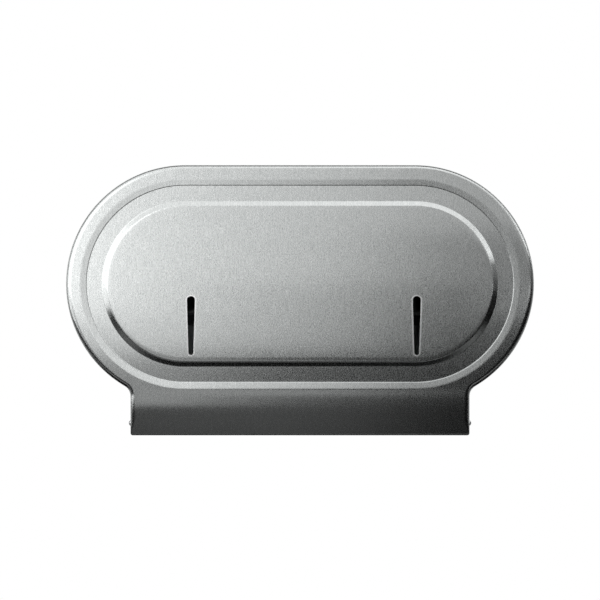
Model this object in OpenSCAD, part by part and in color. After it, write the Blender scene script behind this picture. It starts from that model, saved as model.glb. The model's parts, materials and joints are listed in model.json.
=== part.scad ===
// Twin jumbo toilet roll dispenser for a washroom wall. A drawn steel cover swings
// down on two hinge pins, over a wall plate that carries a spindle for each roll.
// The origin is at the middle of the wall screws, on the back face of the plate.
// Z points up, X to the right seen from the front, and the front faces -Y.

/* [Cover] */
// Distance from the middle to the centre of each round lobe, which is also a spindle
lobe_offset = 128; // [120:1:140]
// Radius of the outline round each lobe
cover_r = 132; // [124:1:142]
// Distance from the wall to the front of the raised panel
cover_depth = 120; // [114:1:135]
// How far the outer band lies behind the raised panel
band_setback = 2.5; // [1:0.5:4]
// How far the groove is sunk below the outer band
groove_depth = 1.6; // [1.2:0.2:4]
// Radius to the middle of the outer wall of the groove
groove_r = 112; // [106:1:116]
// Radius to the middle of the wall of the raised panel
panel_r = 90; // [80:1:96]
// Width over which each wall of the groove rises
groove_wall_w = 6.6; // [6:0.2:8]
// Thickness of the drawn sheet
sheet_t = 1; // [0.8:0.1:1.2]
// Outer bend radius where the side walls turn into the front
rim_bend_r = 6; // [4:0.5:8]
// Gap between the rear edge of the cover and the wall
cover_wall_gap = 1; // [0.5:0.25:1.5]

/* [Throat] */
// Width of the throat across its side walls
throat_w = 377; // [360:1:390]
// Distance from the centre of the lobes down to the edge of the throat
throat_drop = 168.5; // [162:0.5:180]
// Radius of the hollow corner between a lobe and the throat
throat_fillet_r = 13; // [9:1:18]
// Distance below the hollow corner at which the front starts to lean back
lean_start = 5; // [3:1:10]
// Angle by which the front of the throat leans back
lean_angle = 10; // [5:1:13]
// Width of the edge that is turned in along the bottom of the throat
hem_w = 10; // [8:1:14]
// Gap between the ends of the turned edge and the bends at the sides
hem_relief = 2; // [1:0.5:6]

/* [Viewing slots] */
// Distance from the centre of the lobes down to the top of the slots
slot_drop = 13.7; // [5:0.1:20]
// Length of each slot
slot_len = 65.5; // [40:0.5:66]
// Width of a slot at its wide upper end
slot_top_w = 8.9; // [7:0.1:12]
// Width of a slot at its narrow lower end
slot_foot_w = 5.5; // [3:0.1:6.5]
// Distance from the middle to the left slot
left_slot_x = 121.2; // [105:0.1:140]
// Distance from the middle to the right slot
right_slot_x = 129.8; // [105:0.1:140]

/* [Wall plate] */
// Thickness of the wall plate
plate_t = 1.5; // [1.2:0.1:2]
// Height of the rim that is turned up round the wall plate
plate_rim_h = 7; // [5:0.5:8]
// Gap between the rim of the plate and the inside of the cover
plate_gap = 2; // [1.8:0.1:3]
// Distance from the edge of the throat up to the foot of the plate
plate_foot_gap = 5; // [4:0.5:5.5]
// Spacing of the wall screws across the plate
screw_spacing_x = 160; // [130:1:170]
// Spacing of the wall screws up the plate
screw_spacing_z = 150; // [120:1:170]
// Diameter of a wall screw hole
screw_hole_d = 7; // [5:0.5:9]
// Radius of the stiffening beads across the plate
bead_r = 3; // [2:0.5:4]
// Length of the stiffening beads
bead_len = 120; // [80:5:140]
// Height of the stiffening beads above and below the middle
bead_y = 40; // [30:1:60]

/* [Hinge] */
// Height of the hinge pins above the edge of the throat
hinge_rise = 13; // [12:0.5:15]
// Distance from the wall to the hinge pins
hinge_out = 15; // [14.5:0.5:18]
// Diameter of a hinge pin
hinge_pin_d = 5; // [4:0.5:5.5]
// Diameter of the domed head of a hinge pin
hinge_head_d = 7; // [6.5:0.5:9]
// Height of the domed head of a hinge pin
hinge_head_h = 2.8; // [1.5:0.1:3.5]
// Diameter of the peened tail of a hinge pin
hinge_tail_d = 7; // [6.5:0.5:8]
// Height of the peened tail of a hinge pin
hinge_tail_h = 1; // [0.8:0.1:2]
// Thickness of a hinge bracket
bracket_t = 2; // [1.5:0.1:3]
// Width of the ear of a hinge bracket
bracket_ear_w = 16; // [15:0.5:16]
// Length of the foot of a hinge bracket along the plate
bracket_foot_w = 26; // [22:1:32]
// Outer diameter of a hinge washer
hinge_washer_d = 10; // [9:0.5:11]
// Radial running clearance of the cover on its hinge pins
hinge_fit = 0.06; // [0.02:0.01:0.1]

/* [Spindles] */
// Diameter of a spindle post
post_d = 16; // [12:0.5:18]
// Diameter of the stub by which a post sits in its base
post_stub_d = 12; // [10:0.5:11.5]
// Diameter of a spindle base
base_d = 64; // [56:1:80]
// Thickness of the disc of a spindle base
base_t = 4; // [3:0.5:6]
// Diameter of the boss of a spindle base
boss_d = 26; // [24:1:30]
// Height of the boss above the disc
boss_h = 6; // [4:0.5:10]
// Number of rivets in each spindle base
base_rivets = 3; // [3:1:6]
// Radius to the rivets of a spindle base
base_rivet_r = 24; // [20:1:25]
// Outer diameter of a brake washer
brake_d = 25; // [22:0.5:28]
// Thickness of a brake washer
brake_t = 1.5; // [1:0.1:2]
// Length of a hub
hub_len = 84; // [70:1:86]
// Outer diameter of the drum of a hub, which the core of the roll goes over
hub_d = 70; // [66:0.5:72]
// Wall of the drum of a hub
hub_wall = 2.5; // [2:0.1:4]
// Length of the taper at the front of the drum
hub_taper_len = 8; // [4:1:12]
// How far the taper draws in the drum
hub_taper = 2; // [1:0.25:2]
// Diameter of the flange that stops the roll at the rear of a hub
hub_flange_d = 92; // [84:1:110]
// Thickness of the flange of a hub
hub_flange_t = 3; // [2:0.5:4]
// Outer diameter of the tube that turns on the post
hub_tube_d = 24; // [22:0.5:26]
// Number of webs between the tube and the drum
hub_webs = 6; // [3:3:9]
// Thickness of a web
hub_web_t = 2.5; // [2:0.1:4]
// Radial running clearance of a hub on its post
hub_fit = 0.06; // [0.02:0.01:0.1]
// Axial running gap at each end of a hub
hub_end_gap = 0.3; // [0.3:0.05:0.6]
// Outer diameter of an end washer
end_washer_d = 23; // [21:0.5:26]
// Thickness of an end washer
end_washer_t = 1.5; // [1:0.1:2]
// Thread diameter of an end screw
end_screw_d = 6; // [5:0.5:8]
// Diameter of the domed head of an end screw
end_head_d = 12; // [11:0.5:14]
// Height of the domed head of an end screw
end_head_h = 4; // [3:0.5:5]
// Depth of the thread of an end screw in the post
end_screw_len = 18; // [12:1:25]
// Width across the flats of the socket in an end screw
end_socket_w = 4; // [3:0.5:4.5]

/* [Core springs] */
// Number of leaf springs round each hub
spring_count = 3; // [3:3:3]
// Width of a leaf spring
spring_w = 12; // [8:0.5:14]
// Thickness of a leaf spring
spring_t = 0.6; // [0.4:0.1:0.8]
// How far a leaf spring bows out
spring_bow = 2.2; // [1:0.1:2.5]
// Length of each flat end of a leaf spring
spring_end_len = 6; // [4:0.5:8]
// Length of each sloping stretch of a leaf spring
spring_ramp_len = 10; // [8:0.5:12]
// Length of the raised middle of a leaf spring
spring_crest_len = 18; // [12:1:20]
// Distance from the flange to the rear end of a leaf spring
spring_start = 8; // [5:1:10]
// Height of the flat seats of a leaf spring above the drum
spring_seat_h = 0.4; // [0.3:0.1:0.6]

/* [Lock] */
// Distance from the wall to the axis of the lock
lock_out = 24; // [23:0.5:27]
// Diameter of the threaded barrel of the lock
barrel_d = 19; // [17:0.5:19]
// Length of the barrel below the top of the cover
barrel_len = 20; // [18:0.5:26]
// Diameter of the flush bezel of the lock
bezel_d = 22; // [21:0.5:26]
// Height of the bezel above the top of the cover
bezel_h = 0.6; // [0.4:0.1:1]
// Radial clearance of the barrel in the cover and the doubler
barrel_fit = 0.1; // [0.05:0.05:0.2]
// Width across the flats of the lock nut
lock_nut_w = 24; // [23:0.5:26]
// Thickness of the lock nut
lock_nut_t = 5; // [3:0.5:6]
// Diameter of the turning plug
plug_d = 12; // [10:0.5:13]
// Radial running clearance of the plug in the barrel
plug_fit = 0.06; // [0.02:0.01:0.1]
// Width of the key slot in the plug
key_slot_w = 1.6; // [1:0.1:2.5]
// Length of the key slot across the plug
key_slot_len = 7; // [5:0.5:8]
// Depth of the key slot
key_slot_depth = 10; // [5:1:12]
// Width across the square tail of the plug
tail_w = 6; // [5:0.5:7]
// Length of the cam from its axis to its tip
cam_len = 17; // [15:0.5:18]
// Width of the cam
cam_w = 10; // [9:0.5:11]
// Thickness of the cam
cam_t = 2; // [1.5:0.1:3]
// Diameter of the round end of the cam on the plug
cam_hub_d = 14; // [12:0.5:16]
// Gap between the cam and the end of the barrel
cam_gap = 0.3; // [0.3:0.05:0.6]
// Thread diameter of the cam screw
cam_screw_d = 4; // [3:0.5:4]
// Thread length of the cam screw in the plug
cam_screw_len = 7; // [4:0.5:8]
// Diameter of the domed head of the cam screw
cam_head_d = 9; // [8.5:0.5:10]
// Height of the domed head of the cam screw
cam_head_h = 2.6; // [2:0.1:3]
// Thickness of the doubler plate inside the top of the cover
doubler_t = 1.5; // [1:0.1:2.5]
// Width of the doubler plate
doubler_w = 60; // [50:1:90]
// Size of the doubler plate away from the wall
doubler_out = 30; // [28:1:34]

/* [Keeper] */
// Thickness of the keeper
keeper_t = 2; // [1.5:0.1:3]
// Height of the keeper, centred on the cam
keeper_h = 14; // [12:0.5:16]
// Gap between the tip of the locked cam and the keeper
keeper_tip_gap = 3; // [2:0.5:5]
// Gap between the locked cam and the lip that holds it
keeper_lip_gap = 0.5; // [0.4:0.1:1]
// Width of the lip that holds the locked cam
keeper_lip_w = 9; // [7:0.5:9.5]
// Length of the foot of the keeper along the plate
keeper_foot_w = 20; // [18:1:30]

/* [Tear bars] */
// Length of each tear bar
tear_len = 150; // [120:2:160]
// Distance from the middle to the centre of each tear bar
tear_x = 92; // [88:1:98]
// Thickness of a tear bar
tear_t = 0.8; // [0.6:0.1:1.2]
// Width of a tear bar on the turned edge
tear_seat_w = 8; // [7:0.5:8]
// Height of the teeth of a tear bar
tooth_h = 3.5; // [2:0.25:5]
// Pitch of the teeth of a tear bar
tooth_pitch = 5; // [3:0.5:6]
// Number of rivets in each tear bar
tear_rivets = 3; // [2:1:5]
// Diameter of the rivets of a tear bar
tear_rivet_d = 2.4; // [2:0.1:3]
// Head diameter of the rivets of a tear bar
tear_head_d = 4.6; // [4:0.1:5.5]
// Head height of the rivets of a tear bar
tear_head_h = 1; // [0.8:0.1:1.4]

/* [Rivets] */
// Shank diameter of the rivets on the wall plate
rivet_d = 3.2; // [3:0.1:4]
// Head diameter of the rivets on the wall plate
rivet_head_d = 6.4; // [6:0.1:7.5]
// Head height of the rivets on the wall plate
rivet_head_h = 1.5; // [1.2:0.1:2]

/* [Hidden] */
$fn = 96;

STEEL = [0.70, 0.71, 0.72];
PLATE = [0.62, 0.64, 0.66];
ZINC = [0.78, 0.78, 0.74];
NYLON = [0.93, 0.92, 0.88];
PLASTIC = [0.25, 0.26, 0.28];
BRASS = [0.78, 0.66, 0.36];
SPRING = [0.52, 0.55, 0.60];

// Overlap by which cutting shapes run past the surface they cut
over = 1;
// Size of the blocks that cut away everything on one side of a plane
far = 2 * throat_w;
// Number of flats that make up each bend of the groove walls
bend_steps = 6;
// Length of the flat tabs that lap a bend onto the flat sheet beside it
lap = 3;
// Distance from a bend at which the flat sheet starts under its tab
lap_start = 1;

// Levels of the front of the cover, measured out from the wall
band_z = cover_depth - band_setback;
groove_z = band_z - groove_depth;
rim_corner_z = band_z - rim_bend_r;
wall_half = groove_wall_w / 2;

// Centre of the hollow corner between the right lobe and the throat
fillet_x = throat_w / 2 + throat_fillet_r;
fillet_y = -sqrt(pow(cover_r + throat_fillet_r, 2) - pow(fillet_x - lobe_offset, 2));
fillet_turn = atan2(-fillet_y, fillet_x - lobe_offset);

// Leaning front of the throat
lean_y = fillet_y - lean_start;
lean_run = throat_drop + lean_y;
lean_foot_z = band_z - lean_run * tan(lean_angle);
hem_rear_z = lean_foot_z - hem_w;
hem_half_w = throat_w / 2 - rim_bend_r - hem_relief;
hem_top_y = -throat_drop + sheet_t;

// Wall plate and hinge
plate_inset = sheet_t + plate_gap;
plate_foot_y = -throat_drop + plate_foot_gap;
plate_side_x = throat_w / 2 - plate_inset;
hinge_y = -throat_drop + hinge_rise;
ear_face_x = plate_side_x - plate_t;
cover_side_x = throat_w / 2 - sheet_t;
running_gap = 0.3;
pin_head_x = throat_w / 2 + running_gap;
// The rear lower corners of the cover turn on this radius, clear of the wall
heel_r = hinge_out - cover_wall_gap / 2;

// Heights of the pieces on a spindle, measured out from the wall
base_top_z = plate_t + base_t;
boss_top_z = base_top_z + boss_h;
hub_rear_z = boss_top_z + brake_t + hub_end_gap;
hub_front_z = hub_rear_z + hub_len;
post_end_z = hub_front_z + hub_end_gap;
washer_end_z = post_end_z + end_washer_t;
spring_seat_r = hub_d / 2 + spring_seat_h;
spring_len = 2 * spring_end_len + 2 * spring_ramp_len + spring_crest_len;

// Lock, measured down from the top of the cover along its own axis
doubler_z = -sheet_t - doubler_t;
cam_top_z = -barrel_len - cam_gap;
cam_foot_z = cam_top_z - cam_t;
cam_y = cover_r + cam_top_z - cam_t / 2;

// Keeper, which the cam turns behind on the left of the lock
keeper_inner_x = cam_len + keeper_tip_gap;
keeper_outer_x = keeper_inner_x + keeper_t;
lip_rear_z = lock_out + cam_w / 2 + keeper_lip_gap;
lip_front_z = lip_rear_z + keeper_t;

// Turns a piece drawn lying on its back, Y up the wall and Z out of it, upright
module upright() {
    rotate([90, 0, 0]) children();
}

// Makes a copy of a piece drawn on the right for each side
module both_sides() {
    children();
    mirror([1, 0, 0]) children();
}

// Low dome on the plane Z = 0, cut from a sphere that lies on its side
module dome(d, h) {
    sphere_r = (h * h + d * d / 4) / (2 * h);
    intersection() {
        translate([0, 0, h - sphere_r]) rotate([90, 0, 0]) sphere(sphere_r);
        cylinder(d = d, h = h);
    }
}

// Rivet through a stack of the given thickness, its head on the plane Z = stack
module rivet(d, head_d, head_h, stack) {
    cylinder(d = d, h = stack);
    translate([0, 0, stack]) dome(head_d, head_h);
}

// Outline of two lobes and the straight middle between them
module stadium(r) {
    for (side = [-1, 1])
        translate([side * lobe_offset, 0]) circle(r);
    square([2 * lobe_offset, 2 * r], center = true);
}

// Outline of the cover from the front, drawn in by inset and cut off at foot
module outline(inset, foot) {
    stadium(cover_r - inset);
    for (side = [0, 1])
        mirror([side, 0])
            difference() {
                polygon([[lobe_offset, 0], [fillet_x, fillet_y], [lobe_offset, fillet_y]]);
                translate([fillet_x, fillet_y]) circle(throat_fillet_r + inset);
            }
    translate([inset - throat_w / 2, foot]) square([throat_w - 2 * inset, -foot]);
}

// Points along an arc, both ends included
function arc_points(centre, r, from, turn) =
    [for (i = [0 : bend_steps]) centre + r * [cos(from + turn * i / bend_steps), sin(from + turn * i / bend_steps)]];

// The same list without its first point
function tail(points) = [for (i = [1 : len(points) - 1]) points[i]];

// Section of sheet that rises smoothly over a width, between two flat tabs
module step_section(width, rise) {
    turn = 2 * atan(rise / width);
    bend_r = width / (2 * sin(turn));
    hollow = [0, bend_r];
    crown = [width, rise - bend_r];
    polygon(concat(
        [[-lap, 0]],
        arc_points(hollow, bend_r, -90, turn),
        tail(arc_points(crown, bend_r, 90 + turn, -turn)),
        [[width + lap, rise], [width + lap, rise - sheet_t]],
        arc_points(crown, bend_r - sheet_t, 90, turn),
        tail(arc_points(hollow, bend_r + sheet_t, turn - 90, -turn)),
        [[-lap, -sheet_t]]
    ));
}

// Section of the bend between side wall and front, X inward and Y out of the wall
module bend_section() {
    intersection() {
        translate([rim_bend_r, rim_corner_z])
            difference() {
                circle(rim_bend_r);
                circle(rim_bend_r - sheet_t);
            }
        translate([0, rim_corner_z]) square(rim_bend_r);
    }
    translate([rim_bend_r, band_z - sheet_t]) square([lap, sheet_t]);
}

// Section of the whole rim: side wall, bend and tab
module rim_section() {
    translate([0, cover_wall_gap]) square([sheet_t, rim_corner_z - cover_wall_gap]);
    bend_section();
}

// Sweeps a section, X measured outward, round the stadium
module around_stadium() {
    for (side = [-1, 1])
        translate([side * lobe_offset, 0, 0])
            rotate([0, 0, -90 * side])
                rotate_extrude(angle = 180) children();
    for (side = [0, 1])
        mirror([0, side, 0])
            translate([-lobe_offset, 0, 0])
                rotate([90, 0, 90])
                    linear_extrude(2 * lobe_offset) children();
}

// Moves to the centre of the right hollow corner, in whole millimetres, thousandths
// and the rest, so that the corner keeps its exact place between lobe and throat
module at_corner() {
    centre = [fillet_x, fillet_y];
    whole = [round(centre.x), round(centre.y)];
    part = [round(1000 * (centre.x - whole.x)) / 1000, round(1000 * (centre.y - whole.y)) / 1000];
    translate(whole) translate(part) translate(centre - whole - part) children();
}

// Block on one side of the plane through the centres of the right corner and lobe
module corner_half(side) {
    along = far * [-cos(fillet_turn), sin(fillet_turn)];
    across = side * far * [sin(fillet_turn), cos(fillet_turn)];
    at_corner()
        linear_extrude(cover_depth) polygon([along, -along, across - along, across + along]);
}

// Side walls and front bends, from the straight top round to the throat
module cover_rim() {
    translate([lobe_offset, cover_r, 0])
        rotate([90, 0, -90])
            linear_extrude(2 * lobe_offset) rim_section();
    both_sides() {
        difference() {
            translate([lobe_offset, 0, 0])
                rotate([0, 0, -90])
                    rotate_extrude(angle = 180)
                        translate([cover_r, 0]) mirror([1, 0]) rim_section();
            corner_half(-1);
        }
        difference() {
            at_corner()
                rotate([0, 0, 90])
                    rotate_extrude(angle = 90)
                        translate([throat_fillet_r, 0]) rim_section();
            corner_half(1);
        }
    }
}

// Filled section of the throat seen from below, drawn in by inset, open at the wall
module throat_section(inset) {
    half_w = throat_w / 2 - inset;
    corner_x = throat_w / 2 - rim_bend_r;
    rear_z = inset > 0 ? cover_wall_gap - over : cover_wall_gap;
    translate([-half_w, rear_z]) square([2 * half_w, rim_corner_z - rear_z]);
    translate([-corner_x, rear_z]) square([2 * corner_x, band_z - inset - rear_z]);
    for (side = [-1, 1])
        translate([side * corner_x, rim_corner_z]) circle(rim_bend_r - inset);
}

// Filled throat, drawn in by inset, its front cut back by the leaning plane
module throat_block(inset) {
    reach = inset > 0 ? 2 * over : over;
    top_y = fillet_y + reach;
    foot_y = inset > 0 ? -throat_drop - over : -throat_drop;
    difference() {
        translate([0, top_y, 0])
            rotate([90, 0, 0])
                linear_extrude(top_y - foot_y) throat_section(inset);
        translate([0, lean_y, band_z])
            rotate([lean_angle, 0, 0])
                translate([-far / 2, -far / 2, -inset]) cube(far);
    }
}

// Everything between the wall and the round heel of each throat side
module heel_cut() {
    translate([-far / 2, 0, 0])
        rotate([90, 0, 90])
            linear_extrude(far)
                difference() {
                    translate([-throat_drop - over, 0])
                        square([hinge_rise + over, hinge_out]);
                    translate([hinge_y, hinge_out]) circle(heel_r);
                }
}

// Throat sheet with its turned edge, cut off level with the hollow corners
module throat() {
    difference() {
        throat_block(0);
        throat_block(sheet_t);
        heel_cut();
        at_corner() translate([-far, 0, 0]) cube([2 * far, far, cover_depth]);
    }
    translate([-hem_half_w, -throat_drop, hem_rear_z])
        cube([2 * hem_half_w, sheet_t, hem_w - sheet_t / 2]);
}

// Tapered viewing slot with round ends
module slot(x) {
    top_r = slot_top_w / 2;
    foot_r = slot_foot_w / 2;
    top_y = -slot_drop - top_r;
    foot_y = -slot_drop - slot_len + foot_r;
    translate([x, 0]) {
        translate([0, top_y]) circle(top_r);
        translate([0, foot_y]) circle(foot_r);
        polygon([[top_r, top_y], [foot_r, foot_y], [-foot_r, foot_y], [-top_r, top_y]]);
    }
}

// Front sheet: outer band, walls and floor of the groove, raised panel
module cover_face() {
    translate([0, 0, band_z - sheet_t])
        linear_extrude(sheet_t)
            difference() {
                outline(rim_bend_r + lap_start, lean_y + lap_start);
                stadium(groove_r + wall_half + lap_start);
            }
    around_stadium()
        translate([groove_r - wall_half, groove_z]) step_section(groove_wall_w, groove_depth);
    translate([0, 0, groove_z - sheet_t])
        linear_extrude(sheet_t)
            difference() {
                stadium(groove_r - wall_half - lap_start);
                stadium(panel_r + wall_half + lap_start);
            }
    around_stadium()
        translate([panel_r + wall_half, groove_z])
            mirror([1, 0])
                step_section(groove_wall_w, band_setback + groove_depth);
    translate([0, 0, cover_depth - sheet_t])
        linear_extrude(sheet_t)
            difference() {
                stadium(panel_r - wall_half - lap_start);
                slot(-left_slot_x);
                slot(right_slot_x);
            }
}

module cover_shell() {
    color(STEEL)
        upright()
            difference() {
                union() {
                    cover_rim();
                    throat();
                    cover_face();
                }
                at_hinges() cylinder(d = hinge_pin_d + 2 * hinge_fit, h = 4 * sheet_t, center = true);
                at_lock() cylinder(d = barrel_d + 2 * barrel_fit, h = 4 * sheet_t, center = true);
                at_tear_rivets() cylinder(d = tear_rivet_d, h = 4 * sheet_t, center = true);
            }
}

// Places a shape on both hinge axes, Z outward and Z = 0 at the side of the cover
module at_hinges() {
    both_sides()
        translate([throat_w / 2, hinge_y, hinge_out])
            rotate([0, 90, 0]) children();
}

// Places a shape on the lock axis, Z up and Z = 0 at the top of the cover
module at_lock() {
    translate([0, cover_r, lock_out]) rotate([-90, 0, 0]) children();
}

// Places a shape on one spindle, Z out of the wall
module at_spindle(side) {
    translate([side * lobe_offset, 0, 0]) children();
}

// Places a shape at each rivet of a spindle base
module at_base_rivets() {
    for (i = [0 : base_rivets - 1])
        rotate([0, 0, 90 + i * 360 / base_rivets])
            translate([base_rivet_r, 0, 0]) children();
}

// Places a shape at each rivet of the foot of the right hinge bracket
module at_bracket_rivet() {
    translate([ear_face_x - bracket_foot_w * 0.62, plate_foot_y + bracket_ear_w / 2, 0]) children();
}

// Places a shape at the rivet of the keeper
module at_keeper_rivet() {
    translate([-keeper_outer_x - keeper_foot_w / 2, cam_y, 0]) children();
}

// Places a shape at each rivet of the tear bars, Z up and Z = 0 on the turned edge
module at_tear_rivets() {
    both_sides()
        for (i = [0 : tear_rivets - 1])
            translate([tear_x + tear_len * ((i + 0.5) / tear_rivets - 0.5), hem_top_y, hem_rear_z + tear_seat_w / 2])
                rotate([-90, 0, 0]) children();
}

module back_plate() {
    color(PLATE)
        upright()
            difference() {
                union() {
                    linear_extrude(plate_t) outline(plate_inset, plate_foot_y);
                    linear_extrude(plate_rim_h)
                        difference() {
                            outline(plate_inset, plate_foot_y);
                            outline(plate_inset + plate_t, plate_foot_y - over);
                        }
                    for (side = [-1, 1])
                        translate([-bead_len / 2, side * bead_y, plate_t])
                            intersection() {
                                rotate([0, 90, 0]) cylinder(r = bead_r, h = bead_len);
                                translate([0, -bead_r - over, -plate_t / 2])
                                    cube([bead_len, 2 * (bead_r + over), bead_r + plate_t]);
                            }
                }
                for (x = [-1, 1], y = [-1, 1])
                    translate([x * screw_spacing_x / 2, y * screw_spacing_z / 2, -over])
                        cylinder(d = screw_hole_d, h = plate_t + 2 * over);
                for (side = [-1, 1])
                    at_spindle(side)
                        at_base_rivets() translate([0, 0, -over]) cylinder(d = rivet_d, h = plate_t + 2 * over);
                both_sides()
                    at_bracket_rivet() translate([0, 0, -over]) cylinder(d = rivet_d, h = plate_t + 2 * over);
                at_keeper_rivet() translate([0, 0, -over]) cylinder(d = rivet_d, h = plate_t + 2 * over);
            }
}

// Hinge bracket on the right: a foot on the plate and an ear that holds the pin
module hinge_bracket() {
    color(ZINC)
        upright()
            difference() {
                union() {
                    translate([ear_face_x - bracket_foot_w, plate_foot_y, plate_t])
                        cube([bracket_foot_w, bracket_ear_w, bracket_t]);
                    translate([ear_face_x - bracket_t, 0, 0])
                        rotate([90, 0, 90])
                            linear_extrude(bracket_t) {
                                translate([plate_foot_y, plate_t])
                                    square([bracket_ear_w, hinge_out - plate_t]);
                                translate([hinge_y, hinge_out]) circle(bracket_ear_w / 2);
                            }
                }
                translate([ear_face_x, hinge_y, hinge_out])
                    rotate([0, 90, 0])
                        cylinder(d = hinge_pin_d, h = 4 * bracket_t, center = true);
                at_bracket_rivet() cylinder(d = rivet_d, h = plate_t + bracket_t + over);
            }
}

module left_hinge_bracket() {
    mirror([1, 0, 0]) hinge_bracket();
}

module right_hinge_bracket() {
    hinge_bracket();
}

module bracket_rivets() {
    color(ZINC)
        upright()
            both_sides()
                at_bracket_rivet() rivet(rivet_d, rivet_head_d, rivet_head_h, plate_t + bracket_t);
}

// Hinge pin on the right, from its domed head outside to the peened tail in the ear
module hinge_pin() {
    tail_x = ear_face_x - bracket_t;
    color(STEEL)
        upright()
            translate([0, hinge_y, hinge_out])
                rotate([0, 90, 0]) {
                    translate([0, 0, pin_head_x]) dome(hinge_head_d, hinge_head_h);
                    translate([0, 0, tail_x]) cylinder(d = hinge_pin_d, h = pin_head_x - tail_x);
                    translate([0, 0, tail_x - hinge_tail_h]) cylinder(d = hinge_tail_d, h = hinge_tail_h);
                }
}

module left_hinge_pin() {
    mirror([1, 0, 0]) hinge_pin();
}

module right_hinge_pin() {
    hinge_pin();
}

module hinge_washers() {
    color(NYLON)
        upright()
            both_sides()
                translate([ear_face_x, hinge_y, hinge_out])
                    rotate([0, 90, 0])
                        difference() {
                            cylinder(d = hinge_washer_d, h = cover_side_x - ear_face_x - running_gap);
                            translate([0, 0, -over]) cylinder(d = hinge_pin_d, h = plate_gap + plate_t + 2 * over);
                        }
}

module spindle_base(side) {
    color(ZINC)
        upright()
            at_spindle(side)
                translate([0, 0, plate_t])
                    difference() {
                        union() {
                            cylinder(d = base_d, h = base_t);
                            cylinder(d = boss_d, h = base_t + boss_h);
                        }
                        translate([0, 0, -over]) cylinder(d = post_stub_d, h = base_t + boss_h + 2 * over);
                        at_base_rivets() translate([0, 0, -over]) cylinder(d = rivet_d, h = base_t + 2 * over);
                    }
}

module left_spindle_base() {
    spindle_base(-1);
}

module right_spindle_base() {
    spindle_base(1);
}

module spindle_base_rivets() {
    color(ZINC)
        upright()
            for (side = [-1, 1])
                at_spindle(side)
                    at_base_rivets() rivet(rivet_d, rivet_head_d, rivet_head_h, plate_t + base_t);
}

module spindle_post(side) {
    color(STEEL)
        upright()
            at_spindle(side)
                difference() {
                    union() {
                        translate([0, 0, plate_t]) cylinder(d = post_stub_d, h = boss_top_z - plate_t);
                        translate([0, 0, boss_top_z]) cylinder(d = post_d, h = post_end_z - boss_top_z);
                    }
                    translate([0, 0, post_end_z - end_screw_len]) cylinder(d = end_screw_d, h = end_screw_len + over);
                }
}

module left_spindle_post() {
    spindle_post(-1);
}

module right_spindle_post() {
    spindle_post(1);
}

module brake_washer(side) {
    color(NYLON)
        upright()
            at_spindle(side)
                translate([0, 0, boss_top_z])
                    difference() {
                        cylinder(d = brake_d, h = brake_t);
                        translate([0, 0, -over]) cylinder(d = post_d, h = brake_t + 2 * over);
                    }
}

module left_brake_washer() {
    brake_washer(-1);
}

module right_brake_washer() {
    brake_washer(1);
}

// Places a shape at each core spring of a hub, X outward and Z along the hub
module at_springs() {
    for (i = [0 : spring_count - 1])
        rotate([0, 0, 90 + i * 360 / spring_count])
            translate([0, 0, hub_rear_z + hub_flange_t + spring_start]) children();
}

// Hub that carries the core of a roll and turns on its post
module hub(side) {
    drum_in = hub_d / 2 - hub_wall;
    color(PLASTIC)
        upright()
            at_spindle(side)
                difference() {
                    union() {
                        translate([0, 0, hub_rear_z]) {
                            cylinder(d = hub_flange_d, h = hub_flange_t);
                            cylinder(d = hub_tube_d, h = hub_len);
                            rotate_extrude()
                                polygon([
                                    [drum_in, hub_flange_t / 2],
                                    [hub_d / 2, hub_flange_t / 2],
                                    [hub_d / 2, hub_len - hub_taper_len],
                                    [hub_d / 2 - hub_taper, hub_len],
                                    [drum_in - hub_taper, hub_len],
                                    [drum_in, hub_len - hub_taper_len]
                                ]);
                            for (i = [0 : hub_webs - 1])
                                rotate([0, 0, 90 + i * 360 / hub_webs])
                                    translate([post_d / 2 + over, -hub_web_t / 2, hub_flange_t / 2])
                                        cube([drum_in - post_d / 2, hub_web_t, hub_len - hub_taper_len - over]);
                        }
                        at_springs()
                            for (start = [0, spring_len - spring_end_len])
                                translate([hub_d / 2 - hub_wall, -spring_w / 2, start])
                                    cube([hub_wall + spring_seat_h, spring_w, spring_end_len]);
                    }
                    translate([0, 0, hub_rear_z - over]) cylinder(d = post_d + 2 * hub_fit, h = hub_len + 2 * over);
                }
}

module left_hub() {
    hub(-1);
}

module right_hub() {
    hub(1);
}

// Bent leaf springs that grip the core from inside
module core_springs(side) {
    ramp_start = spring_end_len;
    crest_start = ramp_start + spring_ramp_len;
    crest_end = crest_start + spring_crest_len;
    ramp_end = crest_end + spring_ramp_len;
    inner = [[0, 0], [ramp_start, 0], [crest_start, spring_bow], [crest_end, spring_bow], [ramp_end, 0], [spring_len, 0]];
    outer = [for (i = [len(inner) - 1 : -1 : 0]) inner[i] + [0, spring_t]];
    color(SPRING)
        upright()
            at_spindle(side)
                at_springs()
                    translate([spring_seat_r, spring_w / 2, 0])
                        rotate([90, -90, 0])
                            mirror([0, 1])
                                linear_extrude(spring_w) polygon(concat(inner, outer));
}

module left_core_springs() {
    core_springs(-1);
}

module right_core_springs() {
    core_springs(1);
}

module end_washer(side) {
    color(STEEL)
        upright()
            at_spindle(side)
                translate([0, 0, post_end_z])
                    difference() {
                        cylinder(d = end_washer_d, h = end_washer_t);
                        translate([0, 0, -over]) cylinder(d = end_screw_d, h = end_washer_t + 2 * over);
                    }
}

module left_end_washer() {
    end_washer(-1);
}

module right_end_washer() {
    end_washer(1);
}

module end_screw(side) {
    color(STEEL)
        upright()
            at_spindle(side)
                difference() {
                    union() {
                        translate([0, 0, post_end_z - end_screw_len])
                            cylinder(d = end_screw_d, h = end_screw_len + end_washer_t);
                        translate([0, 0, washer_end_z]) dome(end_head_d, end_head_h);
                    }
                    translate([0, 0, washer_end_z + end_head_h / 4])
                        cylinder(d = end_socket_w / cos(30), h = end_head_h, $fn = 6);
                }
}

module left_end_screw() {
    end_screw(-1);
}

module right_end_screw() {
    end_screw(1);
}

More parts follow.
